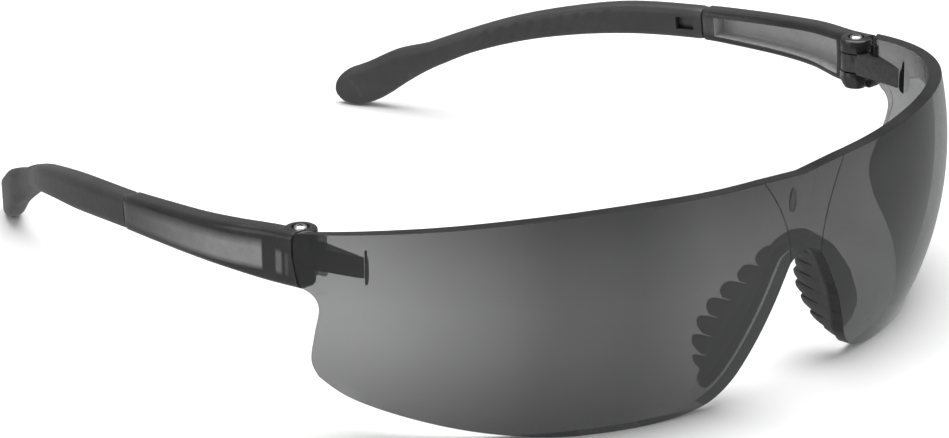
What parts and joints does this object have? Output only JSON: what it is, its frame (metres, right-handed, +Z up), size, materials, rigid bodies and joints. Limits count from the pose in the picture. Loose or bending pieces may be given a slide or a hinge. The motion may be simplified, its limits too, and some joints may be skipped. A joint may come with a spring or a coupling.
{
  "type": "safety glasses",
  "caption": "Frameless wraparound safety glasses: a tinted curved lens with a soft fingered nose piece and folding temples with rubber tips.",
  "frame": {"origin": "on the surface the glasses stand on, below the middle of their overall length and width", "axes": "+X to the wearer's left, -Y forward through the lens, +Z up"},
  "size_m": [0.1486, 0.1652, 0.0409],
  "materials": {
    "lens": "polished smoke tint, see-through",
    "nose_rubber": "soft matte",
    "end_piece": "satin moulded",
    "temple_arm": "polished, slightly see-through smoke",
    "tip_rubber": "matte",
    "screw": "bright, lightly worn"
  },
  "bodies": {
    "front": {"lens": "lens", "nose_piece": "nose_rubber", "left_end_piece": "end_piece", "right_end_piece": "end_piece"},
    "left_temple": {"left_temple_arm": "temple_arm", "left_temple_tip": "tip_rubber", "left_hinge_screw": "screw"},
    "right_temple": {"right_temple_arm": "temple_arm", "right_temple_tip": "tip_rubber", "right_hinge_screw": "screw"}
  },
  "joints": [
    {"name": "left_temple_fold", "type": "hinge", "parent": "front", "child": "left_temple", "pos_m": [0.068, -0.03203, 0.0295], "axis": [0, 0, 1], "range_deg": [0, 90]},
    {"name": "right_temple_fold", "type": "hinge", "parent": "front", "child": "right_temple", "pos_m": [-0.068, -0.03203, 0.0295], "axis": [0, 0, -1], "range_deg": [0, 80]}
  ]
}
